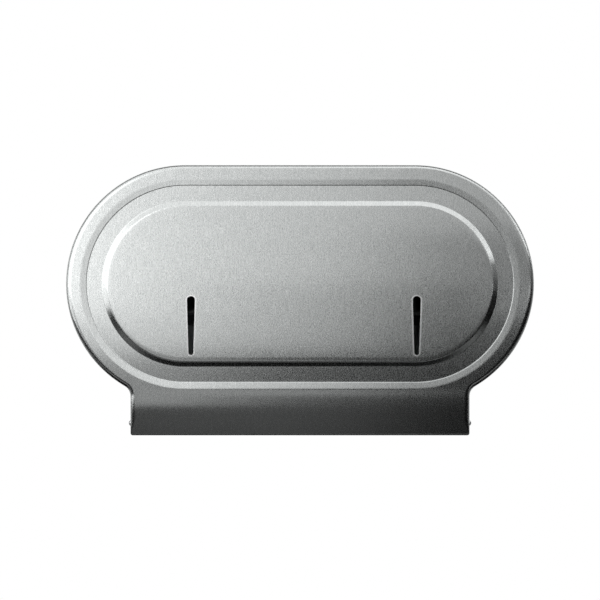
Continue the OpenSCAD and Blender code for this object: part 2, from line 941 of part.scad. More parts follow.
// Hooked keeper: foot on the plate, leg out past the cam, lip in front of the cam
module lock_keeper() {
    color(ZINC)
        upright()
            difference() {
                translate([0, cam_y + keeper_h / 2, 0])
                    rotate([90, 0, 0])
                        linear_extrude(keeper_h) {
                            translate([-keeper_outer_x - keeper_foot_w, plate_t])
                                square([keeper_foot_w + keeper_t, keeper_t]);
                            translate([-keeper_outer_x, plate_t])
                                square([keeper_t, lip_front_z - plate_t]);
                            translate([-keeper_outer_x, lip_rear_z])
                                square([keeper_t + keeper_lip_w, keeper_t]);
                        }
                at_keeper_rivet() cylinder(d = rivet_d, h = plate_t + keeper_t + over);
            }
}

module keeper_rivets() {
    color(ZINC)
        upright()
            at_keeper_rivet() rivet(rivet_d, rivet_head_d, rivet_head_h, plate_t + keeper_t);
}

// Serrated strip on the turned edge, its teeth towards the wall
module tear_bar(side) {
    teeth = floor(tear_len / tooth_pitch);
    pitch = tear_len / teeth;
    color(SPRING)
        upright()
            difference() {
                translate([side * tear_x - tear_len / 2, hem_top_y + tear_t, hem_rear_z])
                    rotate([90, 0, 0])
                        linear_extrude(tear_t) {
                            square([tear_len, tear_seat_w]);
                            for (i = [0 : teeth - 1])
                                polygon([[i * pitch, 0], [(i + 0.5) * pitch, -tooth_h], [(i + 1) * pitch, 0]]);
                        }
                at_tear_rivets() cylinder(d = tear_rivet_d, h = tear_t + over);
            }
}

module left_tear_bar() {
    tear_bar(-1);
}

module right_tear_bar() {
    tear_bar(1);
}

module tear_bar_rivets() {
    color(STEEL)
        upright()
            at_tear_rivets()
                translate([0, 0, -sheet_t]) rivet(tear_rivet_d, tear_head_d, tear_head_h, sheet_t + tear_t);
}

module lock_doubler() {
    color(STEEL)
        upright()
            at_lock()
                difference() {
                    translate([-doubler_w / 2, -doubler_out / 2, doubler_z])
                        cube([doubler_w, doubler_out, doubler_t]);
                    translate([0, 0, doubler_z - over])
                        cylinder(d = barrel_d + 2 * barrel_fit, h = doubler_t + 2 * over);
                }
}

module lock_housing() {
    color(BRASS)
        upright()
            at_lock()
                difference() {
                    union() {
                        cylinder(d = bezel_d, h = bezel_h);
                        translate([0, 0, -barrel_len]) cylinder(d = barrel_d, h = barrel_len);
                    }
                    translate([0, 0, -barrel_len - over])
                        cylinder(d = plug_d + 2 * plug_fit, h = barrel_len + bezel_h + 2 * over);
                }
}

module lock_nut() {
    color(ZINC)
        upright()
            at_lock()
                translate([0, 0, doubler_z - lock_nut_t])
                    difference() {
                        cylinder(d = lock_nut_w / cos(30), h = lock_nut_t, $fn = 6);
                        translate([0, 0, -over]) cylinder(d = barrel_d, h = lock_nut_t + 2 * over);
                    }
}

// Turning plug with its key slot, its square tail down through the cam
module lock_plug() {
    color(BRASS)
        upright()
            at_lock()
                difference() {
                    union() {
                        translate([0, 0, -barrel_len]) cylinder(d = plug_d, h = barrel_len + bezel_h);
                        translate([-tail_w / 2, -tail_w / 2, cam_foot_z])
                            cube([tail_w, tail_w, cam_t + cam_gap + over]);
                    }
                    translate([-key_slot_w / 2, -key_slot_len / 2, bezel_h - key_slot_depth])
                        cube([key_slot_w, key_slot_len, key_slot_depth + over]);
                    translate([0, 0, cam_foot_z - over])
                        cylinder(d = cam_screw_d, h = cam_screw_len + over);
                }
}

// Cam in its unlocked place, pointing at the wall
module lock_cam() {
    color(ZINC)
        upright()
            at_lock()
                translate([0, 0, cam_foot_z])
                    difference() {
                        union() {
                            cylinder(d = cam_hub_d, h = cam_t);
                            translate([-cam_w / 2, 0, 0]) cube([cam_w, cam_len, cam_t]);
                        }
                        translate([-tail_w / 2, -tail_w / 2, -over])
                            cube([tail_w, tail_w, cam_t + 2 * over]);
                    }
}

module cam_screw() {
    color(ZINC)
        upright()
            at_lock()
                translate([0, 0, cam_foot_z]) {
                    cylinder(d = cam_screw_d, h = cam_screw_len);
                    mirror([0, 0, 1]) dome(cam_head_d, cam_head_h);
                }
}

back_plate();
left_hinge_bracket();
right_hinge_bracket();
bracket_rivets();
left_hinge_pin();
right_hinge_pin();
hinge_washers();
left_spindle_base();
right_spindle_base();
spindle_base_rivets();
left_spindle_post();
right_spindle_post();
left_brake_washer();
right_brake_washer();
left_hub();
right_hub();
left_core_springs();
right_core_springs();
left_end_washer();
right_end_washer();
left_end_screw();
right_end_screw();
lock_keeper();
keeper_rivets();
cover_shell();
left_tear_bar();
right_tear_bar();
tear_bar_rivets();
lock_doubler();
lock_housing();
lock_nut();
lock_plug();
lock_cam();
cam_screw();
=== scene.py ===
# %% [markdown]
# A washroom dispenser for two jumbo toilet rolls, in brushed stainless steel.
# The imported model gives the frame: where each piece is and what it rides on.
# This lesson builds the drawn cover as one bent sheet, gives every piece its finish,
# and lights it like a catalogue photograph on white.

# %% Load the frame
import json
import math
import bpy
import numpy as np
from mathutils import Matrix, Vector
from mathutils.geometry import delaunay_2d_cdt


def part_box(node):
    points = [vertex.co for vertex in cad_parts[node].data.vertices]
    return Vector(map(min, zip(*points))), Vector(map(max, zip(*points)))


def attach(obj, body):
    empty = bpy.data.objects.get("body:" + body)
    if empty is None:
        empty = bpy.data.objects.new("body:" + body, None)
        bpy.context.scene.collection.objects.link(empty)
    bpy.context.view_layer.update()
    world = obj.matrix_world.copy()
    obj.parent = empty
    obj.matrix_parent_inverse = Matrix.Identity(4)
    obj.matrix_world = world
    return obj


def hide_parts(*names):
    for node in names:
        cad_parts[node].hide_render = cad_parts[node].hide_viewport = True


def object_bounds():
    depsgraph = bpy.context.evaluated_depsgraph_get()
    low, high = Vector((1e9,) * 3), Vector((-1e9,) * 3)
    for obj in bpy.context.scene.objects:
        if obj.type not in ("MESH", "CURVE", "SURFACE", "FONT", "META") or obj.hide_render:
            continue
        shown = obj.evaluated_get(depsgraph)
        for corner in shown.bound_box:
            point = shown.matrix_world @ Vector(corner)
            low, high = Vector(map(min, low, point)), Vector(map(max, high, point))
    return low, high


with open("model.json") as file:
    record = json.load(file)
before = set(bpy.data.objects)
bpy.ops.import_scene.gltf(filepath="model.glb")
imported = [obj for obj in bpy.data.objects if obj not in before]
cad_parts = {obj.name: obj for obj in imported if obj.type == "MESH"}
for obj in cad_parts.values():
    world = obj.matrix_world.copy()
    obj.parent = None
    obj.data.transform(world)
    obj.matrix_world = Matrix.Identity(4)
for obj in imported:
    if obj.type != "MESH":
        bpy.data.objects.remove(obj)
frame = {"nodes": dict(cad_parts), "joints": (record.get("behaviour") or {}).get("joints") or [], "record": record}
cad_low, cad_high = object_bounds()
joints = {joint["name"]: joint for joint in frame["joints"]}
print("nodes:", len(frame["nodes"]), "box:", [round(1000 * s, 1) for s in cad_high - cad_low], "mm")

# %% [markdown]
# The camera comes first, because everything that shows is judged through it.
# The photograph was taken straight from the front with a very long lens: the side walls
# vanish behind the front, and yet the heads of the hinge pins, which sit far back beside
# them, still stand out. So the camera stands far away on the middle line.

# %% Camera
frame_width = 0.6667
aim_height = -0.018
lens = 900.0
sensor = 36.0
view_distance = frame_width * lens / sensor
camera_data = bpy.data.cameras.new("camera")
camera_data.lens = lens
camera_data.sensor_width = sensor
camera = bpy.data.objects.new("camera", camera_data)
camera.location = (0, cad_low.y - view_distance, aim_height)
camera.rotation_euler = (math.radians(90), 0, 0)
bpy.context.scene.collection.objects.link(camera)
bpy.context.scene.camera = camera
print("camera stands", round(view_distance, 2), "m in front")

# %% [markdown]
# The cover is drawn from one sheet, so it is modelled as one sheet: a front surface that
# is known exactly, a back surface one thickness behind it, and the cut edges between.
# A subdivision surface would only come near to its long flats and tight bends. Here each
# ring of points lies on the true section, and every corner gets its exact normal,
# which keeps reflections on the metal clean.
# In the sheet's own terms a point has x across, z up, and out, its distance from the wall.
# What the frame knows is read from it. The rest was measured on the photograph.

# %% Sizes of the outline
shell_low, shell_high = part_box("cover_shell")
lobe_x, lobe_r = joints["right_hub_turn"]["pos_m"][0], shell_high.z
foot_z, panel_out = shell_low.z, -shell_low.y
hinge_out, hinge_z = -joints["cover_hinge"]["pos_m"][1], joints["cover_hinge"]["pos_m"][2]
throat_half, fillet_r, corner_r = 0.1885, 0.013, 0.0026
fillet_x = throat_half + fillet_r
fillet_z = -math.sqrt((lobe_r + fillet_r) ** 2 - (fillet_x - lobe_x) ** 2)
fillet_turn = math.atan2(-fillet_z, fillet_x - lobe_x)
print("lobes", round(2 * lobe_x, 4), "m apart, hollow corner at", round(fillet_x, 4), round(fillet_z, 4))

# %% [markdown]
# The outline of the cover is two round lobes and a straight middle, with a throat below.
# The groove follows a plain stadium inside it. A curve object could hold each shape, but
# then nothing would tie their points together. So both are described at shared
# stations. Each knows its point on the outline, the direction outward there, how tight
# the rim bends, and where it lies on the stadium.


# %% One station
def smooth(t):
    t = min(max(t, 0.0), 1.0)
    return t * t * (3 - 2 * t)


def spread(count, start, end):
    return [start + (end - start) * i / count for i in range(count)]


def station(x, z, nx, nz, bend, cx, angle, foot=False):
    spoke = (math.cos(angle), math.sin(angle))
    return dict(p=(x, z), n=(nx, nz), bend=bend, cx=cx, d=spoke, foot=foot)


print("a station knows:", ", ".join(station(0, lobe_r, 0, 1, 0, 0, 0)))

# %% [markdown]
# A walk round the outline gives the stations of the mesh: along the top, round the lobe,
# through the hollow corner, down the side of the throat and along its foot. The stations
# on the throat are spread over the lowest part of the stadium. Only the left half is
# walked, and the right half is its mirror image, as on the real cover.

# %% Walk round the outline
rim_bend, hem_bend = 0.006, 0.0018
top_steps, lobe_steps, fillet_steps, side_steps, corner_steps, foot_steps = 32, 100, 16, 26, 8, 40
side_start, side_end, corner_end = (math.radians(angle) for angle in (252, 264, 270))
bend_start = hinge_z + 0.006


def left_half():
    """Stations from the middle of the top round the left to the middle of the foot."""
    walk = []
    for x in spread(top_steps, 0, -lobe_x):
        walk.append(station(x, lobe_r, 0, 1, rim_bend, x, math.pi / 2))
    for angle in spread(lobe_steps, math.pi / 2, math.pi + fillet_turn):
        c, s = math.cos(angle), math.sin(angle)
        walk.append(station(-lobe_x + lobe_r * c, lobe_r * s, c, s, rim_bend, -lobe_x, angle))
    for i in range(fillet_steps):
        turn = fillet_turn * (1 - i / fillet_steps)
        c, s = math.cos(turn), math.sin(turn)
        angle = math.pi + fillet_turn + (side_start - math.pi - fillet_turn) * i / fillet_steps
        x, z = -fillet_x + fillet_r * c, fillet_z + fillet_r * s
        walk.append(station(x, z, -c, -s, rim_bend, -lobe_x, angle))
    side_foot = foot_z + corner_r
    for i in range(side_steps):
        z = fillet_z + (side_foot - fillet_z) * i / side_steps
        bend = rim_bend + (hem_bend - rim_bend) * smooth((bend_start - z) / (bend_start - side_foot))
        angle = side_start + (side_end - side_start) * i / side_steps
        walk.append(station(-throat_half, z, -1, 0, bend, -lobe_x, angle))
    for i in range(corner_steps + 1):
        turn = math.pi + math.pi / 2 * i / corner_steps
        c, s = math.cos(turn), math.sin(turn)
        angle = side_end + (corner_end - side_end) * i / corner_steps
        x, z = -throat_half + corner_r * (1 + c), side_foot + corner_r * s
        walk.append(station(x, z, c, s, hem_bend, -lobe_x, angle))
    foot_half = throat_half - corner_r
    for x in spread(foot_steps, -foot_half, 0)[1:] + [0.0]:
        cx = x * lobe_x / foot_half
        walk.append(station(x, foot_z, 0, -1, hem_bend, cx, -math.pi / 2, foot=True))
    return walk


def flipped(pair):
    return -pair[0], pair[1]


def mirrored(s):
    return {**s, "p": flipped(s["p"]), "n": flipped(s["n"]), "cx": -s["cx"], "d": flipped(s["d"])}


left = left_half()
stations = left + [mirrored(s) for s in reversed(left[1:-1])]
outline = np.array([s["p"] for s in stations])
outward = np.array([s["n"] for s in stations])
bends = np.array([s["bend"] for s in stations])
spine = np.array([(s["cx"], 0.0) for s in stations])
spokes = np.array([s["d"] for s in stations])
on_foot = np.array([s["foot"] for s in stations])
print("stations round the cover:", len(stations))

# %% [markdown]
# A press tool leaves ramps and bends. So each wall of the groove is walked as a profile of
# them, a list of radius, level and slope. A plain step with a bevel would be quicker, but
# then each bend and slope is hard to set by itself. The outer wall is a tight crease and
# a long shallow slope, which draws the thin dark line of the photograph and the soft
# shade beside it. The inner wall is steeper, and the panel rolls off a little towards it.

# %% Walls of the groove
panel_rise, groove_depth = 0.0025, 0.0016
band_out = panel_out - panel_rise
groove_out = band_out - groove_depth
groove_r, outer_wall_half = 0.112, 0.0033
panel_r, inner_wall_half = 0.090, 0.0024
crease_bend, slope_bend, shoulder_bend = 0.0018, 0.0010, 0.014
foot_bend, crown_bend, roll_bend = 0.0013, 0.0036, 0.080


def bend(profile, side, radius, slope, steps=6):
    """Adds an arc to a profile of (r, out, slope), from its last slope to the next one."""
    r, out, start = profile[-1]
    hollow = math.copysign(1, slope - start)
    for i in range(1, steps + 1):
        a = start + (slope - start) * i / steps
        away = radius * abs(math.sin(a) - math.sin(start))
        profile.append((r + side * away, out + radius * hollow * (math.cos(start) - math.cos(a)), a))


def ramp(profile, side, rise):
    """Adds a straight slope that climbs by a rise."""
    r, out, slope = profile[-1]
    profile.append((r + side * rise / math.tan(slope), out + rise, slope))


def arc_rise(radius, start, end):
    return radius * abs(math.cos(start) - math.cos(end))


def outer_wall():
    """From the groove floor out to the band: a tight crease, then a long shallow slope."""
    crease, slope = math.radians(35), math.radians(10)
    profile = [(groove_r - outer_wall_half, groove_out, 0.0)]
    bend(profile, 1, crease_bend, crease)
    bend(profile, 1, slope_bend, slope)
    ramp(profile, 1, band_out - profile[-1][1] - arc_rise(shoulder_bend, slope, 0))
    bend(profile, 1, shoulder_bend, 0.0, 8)
    return profile


def inner_wall():
    """From the groove floor in and up to the panel, which rolls off a little at its edge."""
    steep, roll = math.radians(35), math.radians(3)
    profile = [(panel_r + inner_wall_half, groove_out, 0.0)]
    bend(profile, -1, foot_bend, steep)
    rolled = arc_rise(crown_bend, steep, roll) + arc_rise(roll_bend, roll, 0)
    ramp(profile, -1, panel_out - profile[-1][1] - rolled)
    bend(profile, -1, crown_bend, roll, 9)
    bend(profile, -1, roll_bend, 0.0, 8)
    return profile


inner, outer = inner_wall(), outer_wall()
print("groove from radius", round(1000 * inner[-1][0], 1), "to", round(1000 * outer[-1][0], 1), "mm")

# %% [markdown]
# The section of the sheet is a list of rings. A ring holds its points, the part of the
# normal that lies in the plane of the front, and the part that points out of the wall.
# The rings run from the edge of the panel out through the groove, over the band, whose
# shape flows from the stadium into the outline, and round the rim.

# %% Rings of the section
rings = []
band_steps, rim_steps = 14, 8


def add_ring(points, out, flat_normal, flat_part, out_part, unfold=None):
    out = np.broadcast_to(np.asarray(out, float), (len(stations),))
    unfold = points if unfold is None else unfold
    rings.append(dict(p=points, out=out, n=flat_normal * flat_part, b=out_part, uv=unfold))


def stadium(r):
    return spine + spokes * r


for r, out, slope in reversed(inner):
    add_ring(stadium(r), out, spokes, math.sin(slope), math.cos(slope))
for share in (0.33, 0.67):
    add_ring(stadium(inner[0][0] + share * (outer[0][0] - inner[0][0])), groove_out, spokes, 0, 1)
for r, out, slope in outer:
    add_ring(stadium(r), out, spokes, -math.sin(slope), math.cos(slope))
band_r = outer[-1][0]
reach = outward * bends[:, None]
rim_centre = outline - reach
for i in range(1, band_steps + 1):
    share = i / band_steps
    add_ring(stadium(band_r) * (1 - share) + rim_centre * share, band_out, spokes, 0, 1)
for i in range(1, rim_steps + 1):
    a = math.pi / 2 * i / rim_steps
    level = band_out - bends * (1 - math.cos(a))
    unfold = rim_centre + reach * a
    add_ring(rim_centre + reach * math.sin(a), level, outward, math.sin(a), math.cos(a), unfold)
rim_ring = len(rings) - 1
print("rings over the front:", len(rings))

# %% [markdown]
# In the photograph the throat is darker than the rest of the face. So it leans back
# towards the wall and mirrors what lies below. On the real cover that is one soft bend
# of the drawn sheet. Here it is a shear of everything below the bend, added after the
# rings, with its exact effect on the normals. A bend modifier could lean it too, but it
# would leave the normals to be guessed from the faces.

# %% Lean of the throat
lean, lean_z, lean_blend = math.tan(math.radians(10)), -0.130, 0.030


def setback(z):
    below = np.maximum(lean_z + lean_blend / 2 - z, 0)
    bent = lean * below**2 / (2 * lean_blend)
    return np.where(below < lean_blend, bent, lean * (below - lean_blend / 2))


def setback_slope(z):
    below = np.maximum(lean_z + lean_blend / 2 - z, 0)
    return -lean * np.minimum(below / lean_blend, 1)


foot_setback = float(setback(np.array(foot_z)))
for ring in rings:
    z = ring["p"][:, 1]
    ring["out"] = ring["out"] - setback(z)
    tilt = np.stack([np.zeros(len(z)), ring["b"] * setback_slope(z)], axis=1)
    ring["n"] = ring["n"] + tilt
print("the foot of the throat is set back", round(1000 * foot_setback, 2), "mm")

# %% [markdown]
# Side walls run from the rim back to the wall, with one ring before the holes of the lock
# and the pins and one behind them. Along the foot the sheet only turns in by the width
# of its edge, and behind each hinge pin the corner is cut round so that the open cover
# clears the wall.

# %% Side walls
hem_w, wall_gap = 0.010, 0.001
hem_out = band_out - foot_setback - hem_w
middle_out, holes_out = 0.075, 0.045
heel_r = hinge_out - wall_gap / 2
below_pin = np.clip(hinge_z - outline[:, 1], 0, heel_r)
heel = hinge_out - np.sqrt(heel_r**2 - below_pin**2)
rear = np.where(outline[:, 1] < hinge_z, np.maximum(wall_gap, heel), wall_gap)
rim_end = rings[rim_ring]["out"]
flat_levels = [np.full(len(stations), out) for out in (hem_out, middle_out, holes_out)]
for level in [*flat_levels, rear]:
    depth = (rim_end - level) + bends * (math.pi / 2 - 1)
    add_ring(outline, level, outward, 1, 0, outline + outward * depth[:, None])
hem_ring, holes_ring, rear_ring = rim_ring + 1, rim_ring + 3, rim_ring + 4
print("rings in all:", len(rings))

# %% [markdown]
# A small builder keeps the points and the faces, with a normal for each corner of each
# face. Grid faces share smooth normals, and cut edges get flat ones, so the sheet
# reads as metal with a real edge. The shader takes the direction of the brushing from
# circles round the middle of the mesh's texture space, so that middle is put far behind
# the wall: the sheet was brushed while it was flat, in one straight direction.

# %% Sheet builder
far_behind = 2


class Sheet:
    """A mesh under construction, with a normal for each corner of each face."""

    def __init__(self):
        self.points, self.grain, self.polish, self.faces, self.normals = [], [], [], [], []

    def point(self, x, z, out, grain, polish=0.0):
        self.points.append((x, -out, z))
        self.grain.append(grain)
        self.polish.append(polish)
        return len(self.points) - 1

    def face(self, corners, normals=None):
        if normals is None:
            a, b, c = (Vector(self.points[i]) for i in (corners[0], corners[1], corners[-1]))
            normals = [(b - a).cross(c - a).normalized()] * len(corners)
        self.faces.append(corners)
        self.normals.append([tuple(n) for n in normals])

    def edges_used_once(self):
        """The edges that only one face uses, in that face's direction."""
        found = {}
        for face in self.faces:
            for a, b in zip(face, face[1:] + face[:1]):
                key = (min(a, b), max(a, b))
                found[key] = None if key in found else (a, b)
        return [edge for edge in found.values() if edge]

    def make(self, name):
        mesh = bpy.data.meshes.new(name)
        mesh.from_pydata(self.points, [], self.faces)
        layer = mesh.uv_layers.new(name="grain")
        order = [i for face in self.faces for i in face]
        layer.data.foreach_set("uv", [v for i in order for v in self.grain[i]])
        # A mask of the painted highlight round the holes: 1 on the lips and their rings, 0 elsewhere.
        polish = mesh.attributes.new("polish", "FLOAT", "POINT")
        polish.data.foreach_set("value", self.polish)
        mesh.shade_smooth()
        mesh.normals_split_custom_set([n for face in self.normals for n in face])
        mesh.validate(clean_customdata=False)
        mesh.use_auto_texspace = False
        mesh.texspace_location = (0, far_behind, 0)
        mesh.texspace_size = (1, 1, 1)
        made = bpy.data.objects.new(name, mesh)
        bpy.context.scene.collection.objects.link(made)
        return made


print("sheet builder ready")

# %% [markdown]
# Every ring gives a row of points on the front of the sheet, and one a thickness behind
# it, along the normals. A solidify modifier does the same, but it works from the faces'
# own normals, not from the exact ones. The two rows keep the same place in the grain, so
# that the inside of the cover is brushed like its outside.

# %% Points on both sides
sheet_t = 0.001


def in_world(n, out_part):
    return Vector((n[0], -out_part, n[1])).normalized()


sheet = Sheet()
around = len(stations)
front, back, normal_of = [], [], {}
for ring in rings:
    front_row, back_row = [], []
    for j in range(around):
        n = in_world(ring["n"][j], ring["b"])
        x, z = ring["p"][j]
        out = ring["out"][j]
        grain = tuple(ring["uv"][j])
        front_row.append(sheet.point(x, z, out, grain))
        back_row.append(sheet.point(x - n.x * sheet_t, z - n.z * sheet_t, out + n.y * sheet_t, grain))
        normal_of[front_row[-1]] = n
        normal_of[back_row[-1]] = -n
    front.append(front_row)
    back.append(back_row)
twin = {a: b for f, k in zip(front, back) for a, b in zip(f, k)}
print("points on both sides:", len(sheet.points))

# %% [markdown]
# Four flats have holes: the panel with its two viewing slots, the top with the lock, and
# the two sides with the hinge pins. A boolean modifier could cut them, but it would know
# nothing of the exact normals. Here a hole is a closed loop of points in its flat,
# walked counterclockwise, which can be widened or sunk into the sheet.


# %% Flats and loops
class Plane:
    """A flat of the cover: its origin, two directions along it and its outward normal."""

    def __init__(self, origin, across, up):
        self.origin, self.across, self.up = Vector(origin), Vector(across), Vector(up)
        self.normal = self.across.cross(self.up)

    def place(self, u, v, depth):
        return self.origin + self.across * u + self.up * v - self.normal * depth

    def flat(self, index):
        p = Vector(sheet.points[index]) - self.origin
        return p.dot(self.across), p.dot(self.up)


def add_loop(plane, loop, depth, polish=0.0):
    """Puts a loop on the sheet at a depth below its flat, and returns its point numbers."""
    made = []
    for u, v in loop:
        p = plane.place(u, v, depth)
        grain = (p.x, p.z + p.y * abs(plane.normal.z))
        made.append(sheet.point(p.x, p.z, -p.y, grain, polish))
    return made


def heading(loop, i):
    """Which way a closed loop runs at one of its points, as seen from its two neighbours."""
    before, after = loop[i - 1], loop[(i + 1) % len(loop)]
    return after[0] - before[0], after[1] - before[1]


def widened(loop, offset):
    """A closed loop of points moved outward by an offset."""
    moved = []
    for i, (u, v) in enumerate(loop):
        du, dv = heading(loop, i)
        size = math.hypot(du, dv)
        moved.append((u + offset * dv / size, v - offset * du / size))
    return moved


def arc_loop(u, v, r, start, turn, steps):
    """Points on an arc, from its start through a turn, without the last one."""
    angles = spread(steps, start, start + turn)
    return [(u + r * math.cos(a), v + r * math.sin(a)) for a in angles]


def straight(start, end, steps=8):
    """Points on a straight line, without the last one."""
    return list(zip(spread(steps, start[0], end[0]), spread(steps, start[1], end[1])))


print("flats and loops ready")

# %% [markdown]
# Each flat is left out of the grid and filled by a constrained triangulation between its
# rim and the holes, where triangles inside a hole are dropped. A flat needs no even
# grid: all its corners have the same normal, so long thin triangles don't show.

# %% Fill a flat
weld = 1e-7


def fill(plane, rim, loops, normal):
    """Triangles between a rim of points and the loops of the holes."""
    ids = list(rim) + [i for loop in loops for i in loop]
    edges, owner = [], []
    for number, loop in enumerate([rim, *loops]):
        start = len(owner)
        edges += [(start + i, start + (i + 1) % len(loop)) for i in range(len(loop))]
        owner += [number] * len(loop)
    result = delaunay_2d_cdt([Vector(plane.flat(i)) for i in ids], edges, [], 1, weld)
    same = {i: orig[0] for i, orig in enumerate(result[3])}
    for triangle in result[2]:
        corners = [same[i] for i in triangle]
        if owner[corners[0]] > 0 and len({owner[i] for i in corners}) == 1:
            continue
        corners = [ids[i] for i in corners]
        a, b, c = (Vector(sheet.points[i]) for i in corners)
        if (b - a).cross(c - a).dot(normal) < 0:
            corners.reverse()
        sheet.face(corners, [normal] * 3)


print("filling ready")

# %% [markdown]
# A punched and deburred edge catches a thin line of light. So each hole gets a small
# rounded lip, a quarter circle from the front into the hole, and a painted highlight: the
# lip and a narrow ring round it are coloured near white, fading out into the brushed sheet.
# A bevel modifier would need the edges of each hole marked first, and the loops are at hand anyway.

# %% Lips of the holes
lip_steps, highlight_fade = 4, 1.3


def strip(plane, first, second, first_lean, second_lean, loop):
    """Faces between two loops of a hole, their normals leaning into the hole."""
    inward = []
    for i in range(len(loop)):
        du, dv = heading(loop, i)
        inward.append((plane.across * -dv + plane.up * du).normalized())

    def leaning(angle):
        return [(v * math.sin(angle) + plane.normal * math.cos(angle)).normalized() for v in inward]

    a, b = leaning(first_lean), leaning(second_lean)
    for i in range(len(loop)):
        k = (i + 1) % len(loop)
        sheet.face([first[i], first[k], second[k], second[i]], [a[i], a[k], b[k], b[i]])


def cut(plane, outer_rim, inner_rim, loops, lip, highlight_width):
    """Fills a flat of both surfaces round its holes, with a rounded lip and a painted highlight at each hole."""
    front_loops, back_loops = [], []
    levels = [math.pi / 2 * i / lip_steps for i in range(lip_steps + 1)]
    for loop in loops:
        made = []
        for a in levels:
            on_lip = widened(loop, lip * (1 - math.sin(a)))
            made.append(add_loop(plane, on_lip, lip * (1 - math.cos(a)), 1.0))
        made.append(add_loop(plane, loop, sheet_t))
        # The lip loops and the ring out to this loop carry the painted highlight at full strength.
        highlight_loop = add_loop(plane, widened(loop, lip + highlight_width), 0, 1.0)
        plain = add_loop(plane, widened(loop, lip + highlight_fade * highlight_width), 0)
        strip(plane, plain, highlight_loop, 0, 0, loop)
        strip(plane, highlight_loop, made[0], 0, 0, loop)
        for i in range(lip_steps):
            strip(plane, made[i], made[i + 1], levels[i], levels[i + 1], loop)
        strip(plane, made[-2], made[-1], math.pi / 2, math.pi / 2, loop)
        front_loops.append(plain)
        back_loops.append(made[-1])
    fill(plane, outer_rim, front_loops, plane.normal)
    fill(plane, inner_rim, back_loops, -plane.normal)


print("lips ready")

# %% [markdown]
# The viewing slots show how much paper is left. They taper towards the foot, and the
# photograph shows them a little off the mirror line. Dark shapes painted on the panel
# would pass from the front, but from the side one looks through the real ones.

# %% Viewing slots
# The slots' lip radius, then the width of the painted highlight ring round them.
slot_places, slot_lip, slot_highlight_width = (-0.1212, 0.1298), 0.00015, 0.0012


def slot_loop(u):
    """A tapered slot with round ends, walked counterclockwise."""
    top_r, foot_r, top, length = 0.00445, 0.00275, -0.0137, 0.0655
    top_v, foot_v = top - top_r, top - length + foot_r
    loop = arc_loop(u, top_v, top_r, 0, math.pi, 14)
    loop += straight((u - top_r, top_v), (u - foot_r, foot_v))
    loop += arc_loop(u, foot_v, foot_r, math.pi, math.pi, 10)
    return loop + straight((u + foot_r, foot_v), (u + top_r, top_v))


slots = [slot_loop(u) for u in slot_places]
panel_plane = Plane((0, -panel_out, 0), (1, 0, 0), (0, 0, 1))
cut(panel_plane, front[0], back[0], slots, slot_lip, slot_highlight_width)
print("slots cut:", len(slots))

# %% [markdown]
# The lock's body passes through the top, and the hinge pins through the sides. Round each
# of these holes a block of the grid is left out, and its rim takes the filling. The
# rings of painted highlight there are only as wide as the lips.

# %% Holes of the lock and the pins
lock_out = -joints["lock_turn"]["pos_m"][1]
lock_hole_r, lock_lip, lock_steps, lock_block = 0.0096, 0.0002, 40, 5
pin_hole_r, pin_lip, pin_steps, pin_block = 0.00256, 0.00015, 24, 0.0048
tiny = 1e-9


def block_rim(rows, columns):
    """Indices round a block of the grid, as (row, column) pairs."""
    low, high = rows
    walk = [(low, j) for j in columns]
    walk += [(i, columns[-1]) for i in range(low + 1, high)]
    walk += [(high, j) for j in reversed(columns)]
    return walk + [(i, columns[0]) for i in range(high - 1, low, -1)]


def cut_block(plane, columns, loop, lip):
    """Cuts a hole into the block of the grid that these columns span behind the holes' ring."""
    walk = block_rim((holes_ring, rear_ring), columns)
    outer_rim, inner_rim = ([rows[i][j] for i, j in walk] for rows in (front, back))
    cut(plane, outer_rim, inner_rim, [loop], lip, lip)


lock_columns = [j % around for j in range(-lock_block, lock_block + 1)]
left_out = {(holes_ring, j) for j in lock_columns[:-1]}
lock_plane = Plane((0, 0, lobe_r), (1, 0, 0), (0, 1, 0))
lock_loop = arc_loop(0, -lock_out, lock_hole_r, 0, 2 * math.pi, lock_steps)
cut_block(lock_plane, lock_columns, lock_loop, lock_lip)

for side in (-1, 1):
    on_side = side * outline[:, 0] > throat_half - tiny
    near_pin = np.abs(outline[:, 1] - hinge_z) < pin_block
    pin_columns = [j for j in range(around) if on_side[j] and near_pin[j]]
    left_out |= {(holes_ring, j) for j in pin_columns[:-1]}
    side_plane = Plane((side * throat_half, 0, 0), (0, side, 0), (0, 0, 1))
    pin_loop = arc_loop(-hinge_out * side, hinge_z, pin_hole_r, 0, 2 * math.pi, pin_steps)
    cut_block(side_plane, pin_columns, pin_loop, pin_lip)
print("quads that the three holes took:", len(left_out))

# %% [markdown]
# What is left is the grid itself: each quad between two rings and two stations, once on
# the front and once on the back, without the flats that the holes took. Wherever an edge
# is then used by one face only, the sheet ends there, so a flat face joins it to its twin
# on the back. That gives the wall edge and the turned edge of the foot their real cut.


# %% Close the sheet
def add_grid():
    for i in range(len(rings) - 1):
        for j in range(around):
            k = (j + 1) % around
            beyond_hem = i >= hem_ring and (on_foot[j] or on_foot[k])
            if (i, j) in left_out or beyond_hem:
                continue
            corners = [front[i][j], front[i + 1][j], front[i + 1][k], front[i][k]]
            sheet.face(corners, [normal_of[c] for c in corners])
            corners = [back[i][k], back[i + 1][k], back[i + 1][j], back[i][j]]
            sheet.face(corners, [normal_of[c] for c in corners])


add_grid()
for a, b in sheet.edges_used_once():
    if a in twin and b in twin:
        sheet.face([b, a, twin[a], twin[b]])
used = sorted({i for face in sheet.faces for i in face})
renumber = {old: new for new, old in enumerate(used)}
sheet.points = [sheet.points[i] for i in used]
sheet.grain = [sheet.grain[i] for i in used]
sheet.polish = [sheet.polish[i] for i in used]
sheet.faces = [[renumber[i] for i in face] for face in sheet.faces]
cover = sheet.make("drawn_cover")
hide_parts("cover_shell")
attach(cover, "cover")
print("cover: faces", len(sheet.faces), "open edges", len(sheet.edges_used_once()))

# %% [markdown]
# Finishes are written as shader maths. Adding and linking each Math node by hand takes
# three lines a sign. A small class wraps a socket instead, so that a formula on the
# screen is the formula in the material, also where a plain number comes first.


